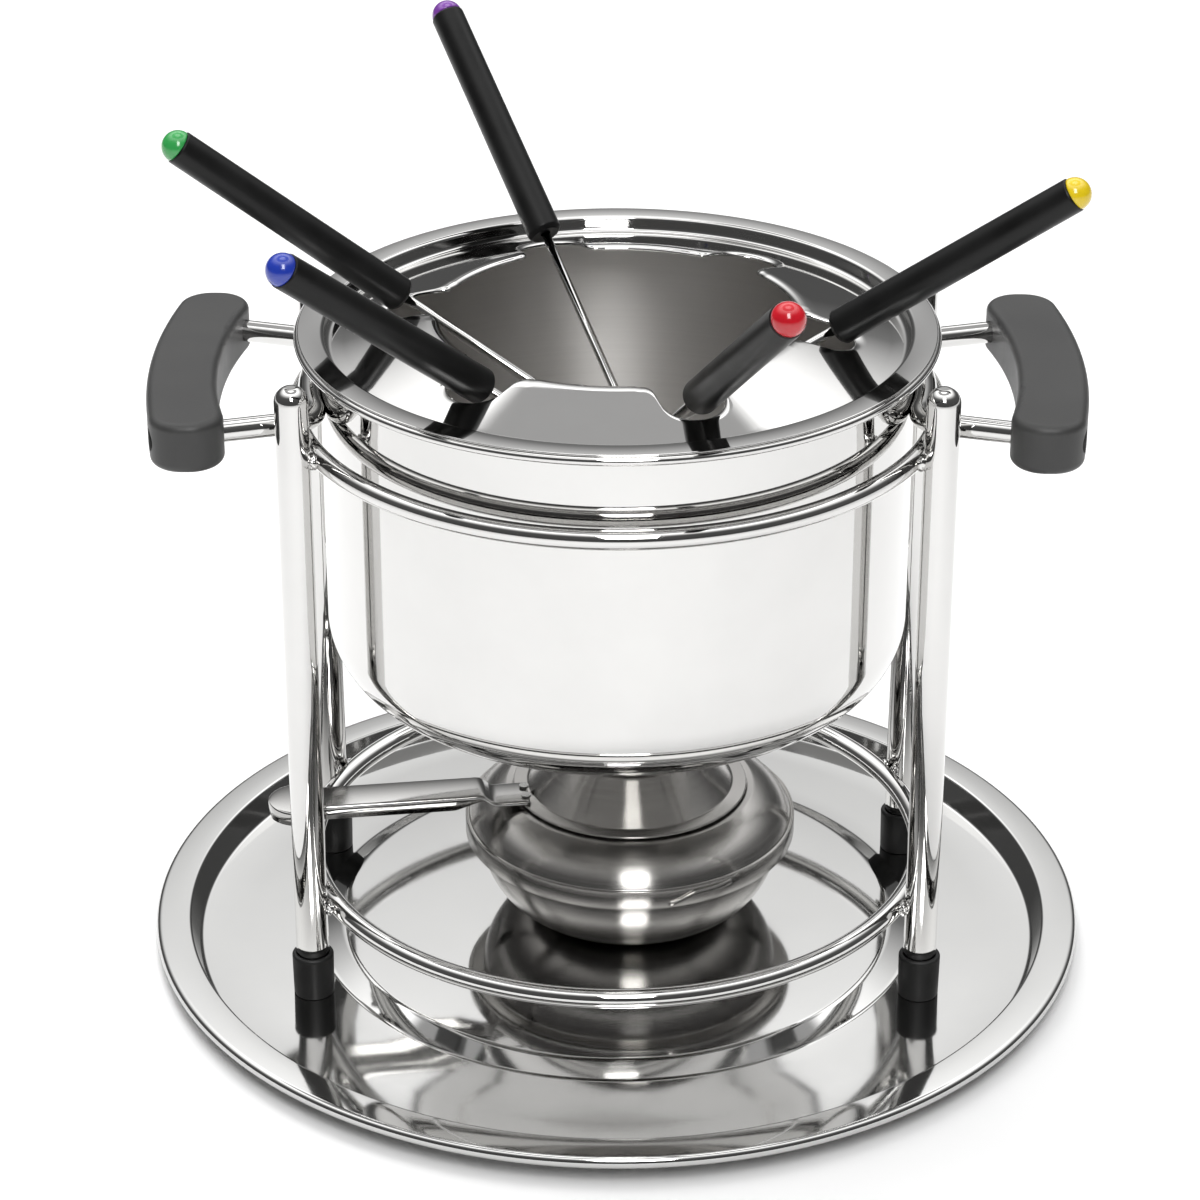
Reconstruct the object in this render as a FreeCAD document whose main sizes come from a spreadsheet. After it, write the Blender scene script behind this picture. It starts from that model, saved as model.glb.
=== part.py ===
import FreeCAD, Part
import math
import os

import Sketcher

# Fondue pot set: a round steel tray, a wire stand with a spirit burner under it, and a pot that
# hangs in the stand by its handle brackets and carries a fork guide with five forks.
# Frame: origin on the table under the tray's centre, +Z up, -Y towards the front. Millimetres.

doc = FreeCAD.newDocument("fondue_pot_set")
sheet = doc.addObject("Spreadsheet::Sheet", "dims")

DIMENSIONS = {
    # tray
    "tray_sheet": 1.0,
    "tray_radius": 144.3,
    "tray_brim_height": 9.0,
    "tray_brim_drop": 4.0,
    "tray_wall_top_radius": 133.5,
    "tray_floor_radius": 130.5,
    "plateau_radius": 86.0,
    "plateau_foot_radius": 93.0,
    "plateau_rise": 3.0,
    # stand
    "ring_radius": 94.3,
    "ring_rod": 3.0,
    "lower_ring_height": 30.5,
    "upper_ring_height": 178.6,
    "leg_radius": 5.0,
    "leg_circle": 102.2,
    "leg_angle": 25.5,
    "leg_top": 201.8,
    "foot_radius": 6.3,
    "foot_height": 14.0,
    "foot_sole": 2.0,
    # pot
    "pot_radius": 87.3,
    "pot_bottom": 92.0,
    "pot_corner": 21.0,
    "pot_wall": 0.9,
    "pot_floor": 3.0,
    "rim_height": 202.9,
    "rim_radius": 94.6,
    "rim_roll": 2.4,
    # handle brackets, grips and their screws
    "bracket_rod": 3.3,
    "bracket_sweep": 14.0,
    "bracket_bend": 8.0,
    "bracket_splay": 16.0,
    "bracket_arm": 26.0,
    "weld_depth": 0.15,
    "rest_gap": 0.3,
    "grip_height": 15.0,
    "grip_half_length": 51.0,
    "grip_outer_end": 131.5,
    "grip_inner_end": 108.8,
    "grip_outer_arc": 235.0,
    "grip_inner_arc": 165.0,
    "grip_end_round": 9.8,
    "grip_edge_round": 2.4,
    "screw_shank": 1.6,
    "screw_length": 16.0,
    "screw_bite": 6.0,
    "screw_head": 3.1,
    "screw_head_height": 2.2,
    "screw_recess": 10.5,
    # fork guide
    "guide_sheet": 0.6,
    "guide_flange_radius": 93.6,
    "guide_collar_radius": 86.0,
    "guide_collar_depth": 5.5,
    "guide_mouth_radius": 52.5,
    "guide_mouth_rise": 3.6,
    "notch_circle": 60.0,
    "notch_radius": 9.4,
    "notch_start": 40.0,
    "notch_angle": 50.0,
    "notch_count": 6,
    # forks
    "seat_circle": 62.0,
    "seat_height": 204.5,
    "fork_length": 243.0,
    "fork_shaft": 1.4,
    "fork_blade_length": 34.0,
    "fork_blade_half_width": 4.2,
    "fork_blade_thickness": 1.8,
    "fork_slot_length": 24.0,
    "fork_slot_half_width": 1.7,
    "fork_tang": 22.0,
    "handle_length": 82.0,
    "handle_foot_radius": 5.3,
    "handle_head_radius": 5.1,
    "handle_edge": 1.2,
    "cap_radius": 4.8,
    "cap_spigot": 2.0,
    "cap_spigot_length": 5.0,
    "slip": 0.05,
    # burner
    "burner_x": 4.2,
    "burner_y": 7.0,
    "burner_sheet": 0.8,
    "bowl_base_height": 4.05,
    "bowl_corner": 24.0,
    "bowl_base_radius": 22.6,
    "bowl_top_height": 30.0,
    "bowl_flange_radius": 50.4,
    "cover_radius": 51.5,
    "cover_hem_radius": 43.5,
    "cover_band_top": 36.4,
    "cover_dome_arc": 19.0,
    "cover_shoulder_radius": 38.5,
    "cover_shoulder_height": 45.6,
    "cover_mouth_radius": 17.0,
    "cover_mouth_height": 42.0,
    "gauze_radius": 19.5,
    "gauze_thickness": 0.7,
    "pad_radius": 36.0,
    "pad_thickness": 18.3,
    "pad_height": 9.3,
    "snuffer_lip_radius": 36.6,
    "snuffer_lip_height": 45.9,
    "snuffer_skirt_radius": 32.0,
    "snuffer_top_radius": 20.5,
    "snuffer_top_height": 59.0,
    "snuffer_round": 4.0,
    "arm_direction": 188.0,
    "arm_offset": 6.0,
    "arm_start": 32.8,
    "arm_crank": 45.0,
    "arm_rise": 3.0,
    "arm_channel_start": 56.0,
    "arm_reach": 113.0,
    "arm_width": 13.0,
    "arm_paddle_radius": 9.5,
    "arm_thickness": 1.2,
    "arm_flange": 3.2,
    "rivet_radius": 0.9,
    "rivet_head_radius": 1.5,
    "rivet_head_height": 0.7,
    "rivet_out": 33.7,
    "rivet_spacing": 6.0,
}

# Each fork: the azimuth of its seat in the guide, the azimuth and elevation of its own axis, how
# far its handle's end stands from the seat along that axis, and how far it is rolled about it.
FORKS = {
    "purple": (109.3, 119.7, 39.2, 90.7, 31.7),
    "green": (168.2, 192.6, 38.9, 90.2, 6.4),
    "blue": (231.5, 217.1, 38.2, 85.2, 130.5),
    "red": (291.1, 288.7, 36.8, 88.9, 13.7),
    "yellow": (350.1, 344.7, 35.9, 89.9, -12.0),
}

FORK_KEYS = ("seat", "turn", "tilt", "reach", "roll")


class Size:
    """A size with its value and the spreadsheet expression that it comes from."""

    def __init__(self, value, text):
        self.value = float(value)
        self.text = text

    def __add__(self, other):
        other = as_size(other)
        return Size(self.value + other.value, f"({self.text} + {other.text})")

    def __sub__(self, other):
        other = as_size(other)
        return Size(self.value - other.value, f"({self.text} - {other.text})")

    def __mul__(self, other):
        other = as_size(other)
        return Size(self.value * other.value, f"({self.text} * {other.text})")

    def __neg__(self):
        return Size(-self.value, f"(-1 * {self.text})")


def as_size(number):
    return number if isinstance(number, Size) else Size(number, f"{number:.6g}")


def cosine(angle):
    return Size(math.cos(math.radians(angle.value)), f"cos({angle.text})")


def sine(angle):
    return Size(math.sin(math.radians(angle.value)), f"sin({angle.text})")


def leg_of(slope, leg):
    """The other leg of a right triangle with this slope and leg."""
    value = math.sqrt(slope.value ** 2 - leg.value ** 2)
    return Size(value, f"sqrt({slope.text} * {slope.text} - {leg.text} * {leg.text})")


class Sizes:
    """The driving dimensions, read by name."""


def fill_sheet():
    sizes = Sizes()
    for row, (name, value) in enumerate(DIMENSIONS.items(), start=1):
        sheet.set(f"A{row}", name)
        sheet.set(f"B{row}", f"{value:g}")
        sheet.setAlias(f"B{row}", name)
        setattr(sizes, name, Size(value, f"dims.{name}"))
    row = len(DIMENSIONS)
    for colour, values in FORKS.items():
        for part, value in zip(FORK_KEYS, values):
            row += 1
            name = f"{colour}_{part}"
            sheet.set(f"A{row}", name)
            sheet.set(f"B{row}", f"{value:g}")
            sheet.setAlias(f"B{row}", name)
            setattr(sizes, name, Size(value, f"dims.{name}"))
    doc.recompute()
    return sizes


d = fill_sheet()
parts = {}
ZERO = as_size(0)


# ---------------------------------------------------------------- building helpers

def keep(node, item):
    """Register a finished sub-part under its node name."""
    item.Label = node
    parts[node] = item
    return item


def new_body(name):
    return doc.addObject("PartDesign::Body", name)


def attach(sketch, body, role, height=None):
    plane = next(f for f in body.Origin.OriginFeatures if f.Role == role)
    sketch.AttachmentSupport = [(plane, "")]
    sketch.MapMode = "FlatFace"
    if height is not None:
        sketch.setExpression(".AttachmentOffset.Base.z", height.text)


def bind(sketch, kind, references, size):
    index = sketch.addConstraint(Sketcher.Constraint(kind, *references, size.value))
    sketch.setExpression(f"Constraints[{index}]", size.text)


def pin_vertex(sketch, curve, end, across, up):
    """Fix one end of a curve at (across, up) from the sketch's origin."""
    for size, kind, axis in ((across, "DistanceX", -2), (up, "DistanceY", -1)):
        if abs(size.value) < 1e-9:
            sketch.addConstraint(Sketcher.Constraint("PointOnObject", curve, end, axis))
        else:
            bind(sketch, kind, (-1, 1, curve, end), size)


def arc_between(start, end, radius, turn):
    """The shorter arc from start to end; turn +1 runs anticlockwise, -1 clockwise."""
    chord = end - start
    half = chord.Length / 2
    reach = math.sqrt(max(radius * radius - half * half, 0.0))
    left = FreeCAD.Vector(-chord.y, chord.x, 0).normalize()
    centre = (start + end) * 0.5 + left * (reach * turn)
    first, last = (start, end) if turn > 0 else (end, start)
    angles = [math.atan2(p.y - centre.y, p.x - centre.x) for p in (first, last)]
    circle = Part.Circle(centre, FreeCAD.Vector(0, 0, 1), radius)
    return Part.ArcOfCircle(circle, angles[0], angles[1])


def draw(sketch, outline, closed=True):
    """Draw an outline. A point is (across, up), or (across, up, radius, turn) where the stretch
    that leads to it is an arc."""
    spots = [FreeCAD.Vector(p[0].value, p[1].value, 0) for p in outline]
    stretches = range(len(outline)) if closed else range(1, len(outline))
    ends = []
    for number in stretches:
        point, start, end = outline[number], spots[number - 1], spots[number]
        if len(point) == 4:
            curve = sketch.addGeometry(arc_between(start, end, point[2].value, point[3]))
            bind(sketch, "Radius", (curve,), point[2])
            ends.append((curve, 1, 2) if point[3] > 0 else (curve, 2, 1))
        else:
            curve = sketch.addGeometry(Part.LineSegment(start, end))
            ends.append((curve, 1, 2))
        pin_vertex(sketch, curve, ends[-1][2], point[0], point[1])
    for (before, _, tail), (after, head, _) in zip(ends, ends[1:]):
        sketch.addConstraint(Sketcher.Constraint("Coincident", before, tail, after, head))
    last, first = ends[-1], ends[0]
    if closed:
        sketch.addConstraint(
            Sketcher.Constraint("Coincident", last[0], last[2], first[0], first[1]))
    else:
        pin_vertex(sketch, first[0], first[1], outline[0][0], outline[0][1])


def sketch_on(body, role, outline, height=None, closed=True):
    sketch = body.newObject("Sketcher::SketchObject", body.Name + "_outline")
    attach(sketch, body, role, height)
    draw(sketch, outline, closed)
    return sketch


def circle_on(body, role, across, up, radius, height=None):
    sketch = body.newObject("Sketcher::SketchObject", body.Name + "_circle")
    attach(sketch, body, role, height)
    centre = FreeCAD.Vector(across.value, up.value, 0)
    curve = sketch.addGeometry(Part.Circle(centre, FreeCAD.Vector(0, 0, 1), radius.value))
    bind(sketch, "Radius", (curve,), radius)
    pin_vertex(sketch, curve, 3, across, up)
    return sketch


def turned(name, outline):
    """A body turned about its own Z axis from an outline in the XZ plane."""
    body = new_body(name)
    sketch = sketch_on(body, "XZ_Plane", outline)
    turn = body.newObject("PartDesign::Revolution", name + "_turn")
    turn.Profile = (sketch, [""])
    turn.ReferenceAxis = (sketch, ["V_Axis"])
    turn.Angle = 360
    doc.recompute()
    return body


def padded(body, sketch, length, both_ways=False):
    pad = body.newObject("PartDesign::Pad", body.Name + "_pad")
    pad.Profile = (sketch, [""])
    pad.setExpression("Length", length.text)
    if both_ways:
        pad.SideType = "Symmetric"
    doc.recompute()
    return pad


def round_edges(body, radius, chosen):
    """Fillet the edges of the body's tip that the test picks."""
    base = body.Tip
    names = [f"Edge{i}" for i, e in enumerate(base.Shape.Edges, start=1) if chosen(e)]
    fillet = body.newObject("PartDesign::Fillet", body.Name + "_round")
    fillet.Base = (base, names)
    fillet.setExpression("Radius", radius.text)
    doc.recompute()


def circle_at(radius, height):
    """A test for the circular edge of this radius at this height."""
    def chosen(edge):
        curve = edge.Curve
        return (isinstance(curve, Part.Circle) and abs(curve.Radius - radius.value) < 0.01
                and abs(curve.Center.z - height.value) < 0.01)
    return chosen


def place(item, across, along, up, turn=None, tilt=None, roll=None):
    """Bind a placement: roll about Z, then tilt about Y, then turn about Z."""
    spot = f"vector({across.text}; {along.text}; {up.text})"
    turn_text, tilt_text, roll_text = (a.text if a is not None else "0" for a in (turn, tilt, roll))
    item.setExpression(
        "Placement",
        f"placement({spot}; rotation(vector(0; 0; 1); {turn_text})"
        f" * rotation(vector(0; 1; 0); {tilt_text})"
        f" * rotation(vector(0; 0; 1); {roll_text}))")


def cylinder(name, radius, length):
    item = doc.addObject("Part::Cylinder", name)
    item.setExpression("Radius", radius.text)
    item.setExpression("Height", length.text)
    return item


def cut(name, base, tool):
    item = doc.addObject("Part::Cut", name)
    item.Base, item.Tool = base, tool
    return item


def group(name, shapes):
    item = doc.addObject("Part::Compound", name)
    item.Links = shapes
    return item


# ---------------------------------------------------------------- tray

def build_tray():
    """One pressed sheet: raised plateau, flat floor, steep wall, flat brim with a turned edge."""
    gauge, lean = d.tray_sheet, as_size(0.4)
    brim, lip = d.tray_brim_height, d.tray_brim_height - d.tray_brim_drop
    body = turned("tray", [
        (ZERO, gauge + d.plateau_rise),
        (ZERO, d.plateau_rise),
        (d.plateau_radius - lean, d.plateau_rise),
        (d.plateau_foot_radius - lean, ZERO),
        (d.tray_floor_radius + gauge, ZERO),
        (d.tray_wall_top_radius + gauge, brim - gauge),
        (d.tray_radius - gauge, brim - gauge),
        (d.tray_radius - gauge, lip),
        (d.tray_radius, lip),
        (d.tray_radius, brim),
        (d.tray_wall_top_radius, brim),
        (d.tray_floor_radius, gauge),
        (d.plateau_foot_radius, gauge),
        (d.plateau_radius, gauge + d.plateau_rise),
    ])
    round_edges(body, as_size(1.8), circle_at(d.tray_radius, brim))
    round_edges(body, as_size(0.8), circle_at(d.tray_radius - gauge, brim - gauge))
    keep("tray", body)


# ---------------------------------------------------------------- stand

def build_stand():
    for name, height in (("upper_ring", d.upper_ring_height), ("lower_ring", d.lower_ring_height)):
        ring = doc.addObject("Part::Torus", name)
        ring.setExpression("Radius1", d.ring_radius.text)
        ring.setExpression("Radius2", d.ring_rod.text)
        place(ring, ZERO, ZERO, height)
        keep(name, ring)
    sides = {"front_left": (-1, -1), "front_right": (1, -1), "rear_left": (-1, 1), "rear_right": (1, 1)}
    for side, (east, north) in sides.items():
        across = d.leg_circle * cosine(d.leg_angle) * east
        along = d.leg_circle * sine(d.leg_angle) * north
        floor = d.tray_sheet + d.slip
        leg_foot = floor + d.foot_sole
        leg = new_body("leg_" + side)
        padded(leg, circle_on(leg, "XY_Plane", ZERO, ZERO, d.leg_radius), d.leg_top - leg_foot)
        round_edges(leg, d.leg_radius - 0.4, circle_at(d.leg_radius, d.leg_top - leg_foot))
        place(leg, across, along, leg_foot)
        keep("leg_" + side, leg)
        bore = d.leg_radius + d.slip
        foot = turned("foot_" + side, [
            (ZERO, ZERO),
            (d.foot_radius, ZERO),
            (d.foot_radius, d.foot_height),
            (bore, d.foot_height),
            (bore, d.foot_sole),
            (ZERO, d.foot_sole),
        ])
        round_edges(foot, as_size(0.9), circle_at(d.foot_radius, d.foot_height))
        place(foot, across, along, floor)
        keep("foot_" + side, foot)


# ---------------------------------------------------------------- pot

def build_pot():
    """A drawn shell with a rounded corner, a thick base and a rim rolled outwards."""
    wall, roll = d.pot_wall, d.rim_roll
    inside = d.pot_radius - wall
    corner_top = d.pot_bottom + d.pot_corner
    inner_corner = d.pot_corner - d.pot_floor
    rim_flat = d.rim_height - roll
    pot = turned("pot_body", [
        (ZERO, d.pot_bottom),
        (d.pot_radius - d.pot_corner, d.pot_bottom),
        (d.pot_radius, corner_top, d.pot_corner, 1),
        (d.pot_radius, rim_flat - 2.4),
        (d.pot_radius + 2.4, rim_flat, as_size(2.4), -1),
        (d.rim_radius - roll * 0.5, rim_flat),
        (d.rim_radius, d.rim_height - roll * 0.5, roll * 0.5, 1),
        (d.rim_radius - roll * 0.5, d.rim_height, roll * 0.5, 1),
        (inside, d.rim_height),
        (inside, corner_top),
        (inside - inner_corner, d.pot_bottom + d.pot_floor, inner_corner, -1),
        (ZERO, d.pot_bottom + d.pot_floor),
    ])
    keep("pot_body", pot)


def arm_height():
    return d.upper_ring_height + d.ring_rod + d.bracket_rod + d.rest_gap


def bracket_points():
    """Half of a bracket's line in plan: weld arc, bend, straight arm."""
    base = d.pot_radius + d.bracket_rod - d.weld_depth
    hub = base + d.bracket_bend
    sweep, splay = d.bracket_sweep, d.bracket_splay
    bend_x = hub * cosine(sweep) - d.bracket_bend * sine(splay)
    bend_y = hub * sine(sweep) + d.bracket_bend * cosine(splay)
    end_x = bend_x + d.bracket_arm * cosine(splay)
    end_y = bend_y + d.bracket_arm * sine(splay)
    return [
        (base, ZERO),
        (base * cosine(sweep), base * sine(sweep), base, 1),
        (bend_x, bend_y, d.bracket_bend, -1),
        (end_x, end_y),
    ]


def build_bracket(label, side):
    """A round rod bent to a U: its base follows the pot wall and its arms splay outwards."""
    name = "bracket_" + label
    body = new_body(name + "_rod")
    height = arm_height()
    path = sketch_on(body, "XY_Plane", bracket_points(), height, closed=False)
    path.Label = name + "_path"
    section = circle_on(body, "XZ_Plane", bracket_points()[0][0], height, d.bracket_rod)
    pipe = body.newObject("PartDesign::AdditivePipe", name + "_pipe")
    pipe.Profile = (section, [""])
    pipe.Spine = (path, ["Edge1", "Edge2", "Edge3"])
    doc.recompute()
    mirror = body.newObject("PartDesign::Mirrored", name + "_mirror")
    mirror.Originals = [pipe]
    plane = next(f for f in body.Origin.OriginFeatures if f.Role == "XZ_Plane")
    mirror.MirrorPlane = (plane, [""])
    body.Tip = mirror
    if side < 0:
        place(body, ZERO, ZERO, ZERO, as_size(180))
    bores = []
    for end in (1, -1):
        bore = cylinder(f"{name}_bore_{'rear' if end > 0 else 'front'}",
                        d.screw_shank + d.slip, d.screw_length)
        along_arm(bore, side, end, -d.screw_bite)
        bores.append(bore)
    doc.recompute()
    keep(name, cut(name, body, group(name + "_bores", bores)))


def grip_block(name, side):
    """The crescent block of a grip, before its sockets are cut."""
    body = new_body(name + "_block")
    half = d.grip_half_length
    outline = [
        (d.grip_outer_end, -half),
        (d.grip_outer_end, half, d.grip_outer_arc, 1),
        (d.grip_inner_end, half),
        (d.grip_inner_end, -half, d.grip_inner_arc, -1),
    ]
    foot = arm_height() - d.grip_height * 0.5
    padded(body, sketch_on(body, "XY_Plane", outline, foot), d.grip_height)
    round_edges(body, d.grip_end_round,
                lambda e: abs(e.Vertexes[0].Z - e.Vertexes[-1].Z) > d.grip_height.value * 0.9)
    round_edges(body, d.grip_edge_round,
                lambda e: abs(e.Vertexes[0].Z - e.Vertexes[-1].Z) < 0.01)
    if side < 0:
        place(body, ZERO, ZERO, ZERO, as_size(180))
    doc.recompute()
    return body


def along_arm(item, side, end, distance):
    """Lay a cylinder along an arm's line, starting this far past the rod's end."""
    end_x, end_y = bracket_points()[3][:2]
    x = end_x + distance * cosine(d.bracket_splay)
    y = end_y + distance * sine(d.bracket_splay)
    turn = as_size(0) + d.bracket_splay * end
    if side < 0:
        x, turn = -x, as_size(180) - d.bracket_splay * end
    place(item, x, y * end, arm_height(), turn, as_size(90))


def build_grip(label, side):
    """A grip with two rod sockets and two recessed screws that draw it onto the rod ends."""
    name = "grip_" + label
    block = grip_block(name, side)
    tools, screws = [], []
    for end in (1, -1):
        tag = f"{name}_{'rear' if end > 0 else 'front'}"
        socket = cylinder(tag + "_socket", d.bracket_rod + d.slip, d.bracket_arm)
        along_arm(socket, side, end, -d.bracket_arm)
        passage = cylinder(tag + "_passage", d.screw_shank + d.slip, d.bracket_arm)
        along_arm(passage, side, end, ZERO)
        recess = cylinder(tag + "_recess", d.screw_head + 0.4, d.bracket_arm)
        along_arm(recess, side, end, d.screw_recess)
        tools += [socket, passage, recess]
        shank = cylinder(tag + "_shank", d.screw_shank, d.screw_length)
        along_arm(shank, side, end, d.screw_recess - d.screw_length)
        head = cylinder(tag + "_head", d.screw_head, d.screw_head_height)
        along_arm(head, side, end, d.screw_recess)
        screw = doc.addObject("Part::Fuse", tag + "_screw")
        screw.Base, screw.Tool = shank, head
        screws.append(screw)
    tool = doc.addObject("Part::MultiFuse", name + "_tools")
    tool.Shapes = tools
    keep(name, cut(name, block, tool))
    keep(f"grip_screws_{label}", group(f"grip_screws_{label}", screws))


# ---------------------------------------------------------------- fork guide

def build_guide():
    """A spun sheet ring that drops into the pot's mouth, with six notches for the forks."""
    gauge = d.guide_sheet
    top = d.rim_height + d.slip + gauge
    collar, foot = d.guide_collar_radius, top - d.guide_collar_depth
    mouth, crest = d.guide_mouth_radius, top + d.guide_mouth_rise
    body = turned("fork_guide", [
        (collar, top - gauge),
        (d.guide_flange_radius, top - gauge),
        (d.guide_flange_radius, top),
        (collar - gauge, top),
        (collar - gauge, foot + gauge),
        (mouth, crest),
        (mouth, crest - gauge),
        (collar, foot),
    ])
    wide, deep = d.notch_radius, d.notch_circle
    notch_sketch = sketch_on(body, "XY_Plane", [
        (d.notch_start, -wide),
        (deep, -wide),
        (deep + wide, ZERO, wide, 1),
        (deep, wide, wide, 1),
        (d.notch_start, wide),
    ])
    notch = body.newObject("PartDesign::Pocket", "notch")
    notch.Profile = (notch_sketch, [""])
    notch.Type = "ThroughAll"
    notch.Reversed = True
    doc.recompute()
    pattern = body.newObject("PartDesign::PolarPattern", "notches")
    pattern.Originals = [notch]
    axis = next(f for f in body.Origin.OriginFeatures if f.Role == "Z_Axis")
    pattern.Axis = (axis, [""])
    pattern.Angle = 360
    pattern.setExpression("Occurrences", d.notch_count.text)
    body.Tip = pattern
    place(body, ZERO, ZERO, ZERO, d.notch_angle)
    doc.recompute()
    keep("fork_guide", body)


# ---------------------------------------------------------------- forks

def place_fork(item, colour):
    """A fork piece is drawn along its own Z axis, from the cap's end down to the prongs, and
    leans over its seat in the guide."""
    seat, turn, tilt, reach, roll = (getattr(d, f"{colour}_{key}") for key in FORK_KEYS)
    lean = as_size(90) - tilt
    x = d.seat_circle * cosine(seat) + reach * cosine(tilt) * cosine(turn)
    y = d.seat_circle * sine(seat) + reach * cosine(tilt) * sine(turn)
    z = d.seat_height + reach * sine(tilt)
    place(item, x, y, z, turn, lean, roll)


def build_fork(colour):
    """Steel shaft with a two-pronged blade, moulded handle, and a domed cap of the fork's colour."""
    tip, joint = -d.fork_length, -d.handle_length - d.cap_radius
    head = -d.cap_radius
    blade_top = tip + d.fork_blade_length
    wide, slot = d.fork_blade_half_width, d.fork_slot_half_width
    tang_end = joint + d.fork_tang

    shaft = turned(f"fork_{colour}", [
        (ZERO, blade_top - 4.0),
        (d.fork_shaft, blade_top - 4.0),
        (d.fork_shaft, tang_end),
        (ZERO, tang_end),
    ])
    blade = sketch_on(shaft, "YZ_Plane", [
        (-wide, tip + 3.0),
        (-wide + 0.9, tip),
        (-slot, tip + 5.0),
        (-slot, tip + d.fork_slot_length),
        (slot, tip + d.fork_slot_length),
        (slot, tip + 5.0),
        (wide - 0.9, tip),
        (wide, tip + 3.0),
        (wide, blade_top - 6.0),
        (d.fork_shaft, blade_top),
        (-d.fork_shaft, blade_top),
        (-wide, blade_top - 6.0),
    ])
    padded(shaft, blade, d.fork_blade_thickness, both_ways=True)
    place_fork(shaft, colour)
    keep(f"fork_{colour}", shaft)

    bore, hole = d.fork_shaft + d.slip, d.cap_spigot + d.slip
    grip = turned(f"handle_{colour}", [
        (bore, joint),
        (d.handle_foot_radius, joint),
        (d.handle_head_radius, head),
        (hole, head),
        (hole, head - d.cap_spigot_length - d.slip),
        (ZERO, head - d.cap_spigot_length - d.slip),
        (ZERO, tang_end + d.slip),
        (bore, tang_end + d.slip),
    ])
    round_edges(grip, d.handle_edge, circle_at(d.handle_foot_radius, joint))
    round_edges(grip, d.handle_edge * 0.3, circle_at(d.handle_head_radius, head))
    place_fork(grip, colour)
    keep(f"handle_{colour}", grip)

    cap = turned(f"cap_{colour}", [
        (ZERO, head - d.cap_spigot_length),
        (d.cap_spigot, head - d.cap_spigot_length),
        (d.cap_spigot, head),
        (d.cap_radius, head),
        (ZERO, ZERO, d.cap_radius, 1),
    ])
    place_fork(cap, colour)
    keep(f"cap_{colour}", cap)


# ---------------------------------------------------------------- burner

def build_bowl():
    """The fuel bowl: a rounded shell with a flange under the cover."""
    gauge, corner, base = d.burner_sheet, d.bowl_corner, d.bowl_base_height
    side, shoulder = d.bowl_base_radius + corner, base + corner
    bowl = turned("burner_bowl", [
        (ZERO, base),
        (d.bowl_base_radius, base),
        (side, shoulder, corner, 1),
        (side, d.bowl_top_height - gauge),
        (d.bowl_flange_radius, d.bowl_top_height - gauge),
        (d.bowl_flange_radius, d.bowl_top_height),
        (side - gauge, d.bowl_top_height),
        (side - gauge, shoulder),
        (d.bowl_base_radius, base + gauge, corner - gauge, -1),
        (ZERO, base + gauge),
    ])
    place(bowl, d.burner_x, d.burner_y, ZERO)
    keep("burner_bowl", bowl)
    pad = turned("fuel_pad", [
        (ZERO, d.pad_height),
        (d.pad_radius, d.pad_height),
        (d.pad_radius, d.pad_height + d.pad_thickness),
        (ZERO, d.pad_height + d.pad_thickness),
    ])
    place(pad, d.burner_x, d.burner_y, ZERO)
    keep("fuel_pad", pad)


def build_cover():
    """The domed cover with its band, a seat for the snuffer and a sunk mouth over the gauze."""
    gauge = d.burner_sheet
    arc = d.cover_dome_arc
    foot = d.bowl_top_height + d.slip
    cover = turned("burner_cover", [
        (d.cover_hem_radius, foot),
        (d.cover_radius, foot),
        (d.cover_radius, d.cover_band_top),
        (d.cover_shoulder_radius, d.cover_shoulder_height, arc, 1),
        (d.cover_mouth_radius + 3.0, d.cover_mouth_height + gauge),
        (d.cover_mouth_radius, d.cover_mouth_height + gauge),
        (d.cover_mouth_radius, d.cover_mouth_height),
        (d.cover_mouth_radius + 3.0, d.cover_mouth_height),
        (d.cover_shoulder_radius, d.cover_shoulder_height - gauge),
        (d.cover_radius - gauge, d.cover_band_top, arc - gauge, -1),
        (d.cover_radius - gauge, foot + gauge),
        (d.cover_hem_radius, foot + gauge),
    ])
    place(cover, d.burner_x, d.burner_y, ZERO)
    keep("burner_cover", cover)
    gauze_top = d.cover_mouth_height - d.slip
    gauze = turned("burner_gauze", [
        (ZERO, gauze_top - d.gauze_thickness),
        (d.gauze_radius, gauze_top - d.gauze_thickness),
        (d.gauze_radius, gauze_top),
        (ZERO, gauze_top),
    ])
    place(gauze, d.burner_x, d.burner_y, ZERO)
    keep("burner_gauze", gauze)


def place_snuffer(item, up, out=ZERO, aside=ZERO):
    """Place a snuffer piece at a distance out along its arm and aside from the arm's line."""
    turn = d.arm_direction
    aside = aside + d.arm_offset
    x = d.burner_x + out * cosine(turn) - aside * sine(turn)
    y = d.burner_y + out * sine(turn) + aside * cosine(turn)
    place(item, x, y, up, turn)


def turned_back(outline):
    """The same open outline drawn the other way round."""
    back = [outline[-1][:2]]
    for before, after in zip(outline[-2::-1], outline[:0:-1]):
        arc = (after[2], -after[3]) if len(after) == 4 else ()
        back.append(before[:2] + arc)
    return back


def paddle(start, half, nose, middle):
    """The plan of a strip along X that ends in a round paddle about its middle."""
    neck = middle - leg_of(nose, half)
    return [
        (start, -half),
        (neck, -half),
        (middle, -nose, nose, 1),
        (middle + nose, ZERO, nose, 1),
        (middle, nose, nose, 1),
        (neck, half, nose, 1),
        (start, half),
    ]


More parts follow.
